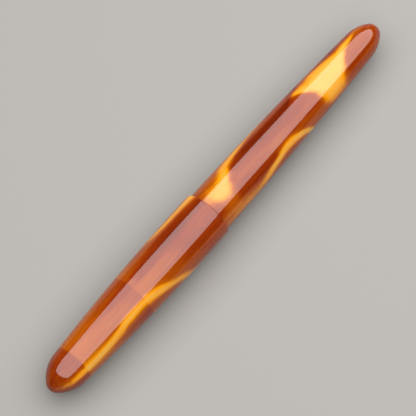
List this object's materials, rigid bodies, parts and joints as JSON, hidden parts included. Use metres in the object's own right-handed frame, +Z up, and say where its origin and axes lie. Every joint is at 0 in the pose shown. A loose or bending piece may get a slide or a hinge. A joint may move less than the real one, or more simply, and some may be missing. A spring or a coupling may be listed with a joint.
{
  "type": "capped glass dip pen",
  "caption": "Slim cigar-shaped dip pen: resin screw cap with inner cap, resin barrel, threaded grip section and twisted fluted glass nib.",
  "frame": {"origin": "centre of the bottom of the bounding box: under the middle of the capped pen, on the surface that it lies on", "axes": "+X along the pen from the cap's closed end to the barrel's closed end, +Z up"},
  "size_m": [0.14, 0.015, 0.015],
  "materials": {
    "amber_resin": "polished cast resin, amber and dark red-brown swirls with a silky shimmer",
    "clear_glass": "clear, flame-polished, twisted flutes",
    "brass": "turned, satin",
    "nitrile": "matte black",
    "silicone": "translucent, soft",
    "liner": "dark brown, satin"
  },
  "bodies": {
    "barrel": {"barrel": "amber_resin"},
    "barrel_seal": {"section_o_ring": "nitrile"},
    "section": {"section": "amber_resin", "nib_collar": "brass", "nib_seal_ring": "silicone", "glass_nib": "clear_glass"},
    "cap_liner": {"inner_cap": "liner", "tip_cushion": "silicone"},
    "cap": {"cap": "amber_resin"}
  },
  "joints": [
    {"name": "section_rise", "type": "slide", "parent": "barrel", "child": "barrel_seal", "axis": [-1, 0, 0], "range_m": [0, 0.01]},
    {"name": "section_turn", "type": "hinge", "parent": "barrel_seal", "child": "section", "pos_m": [-0.0037, 0, 0.0075], "axis": [-1, 0, 0], "range_deg": [0, 3600]},
    {"name": "cap_rise", "type": "slide", "parent": "section", "child": "cap_liner", "axis": [-1, 0, 0], "range_m": [0, 0.06]},
    {"name": "cap_turn", "type": "hinge", "parent": "cap_liner", "child": "cap", "pos_m": [-0.0037, 0, 0.0075], "axis": [-1, 0, 0], "range_deg": [0, 9000]}
  ],
  "couplings": [
    {"joint": "section_turn", "follows": "section_rise", "rad_per_m": 6283.2},
    {"joint": "cap_turn", "follows": "cap_rise", "rad_per_m": 2618}
  ]
}
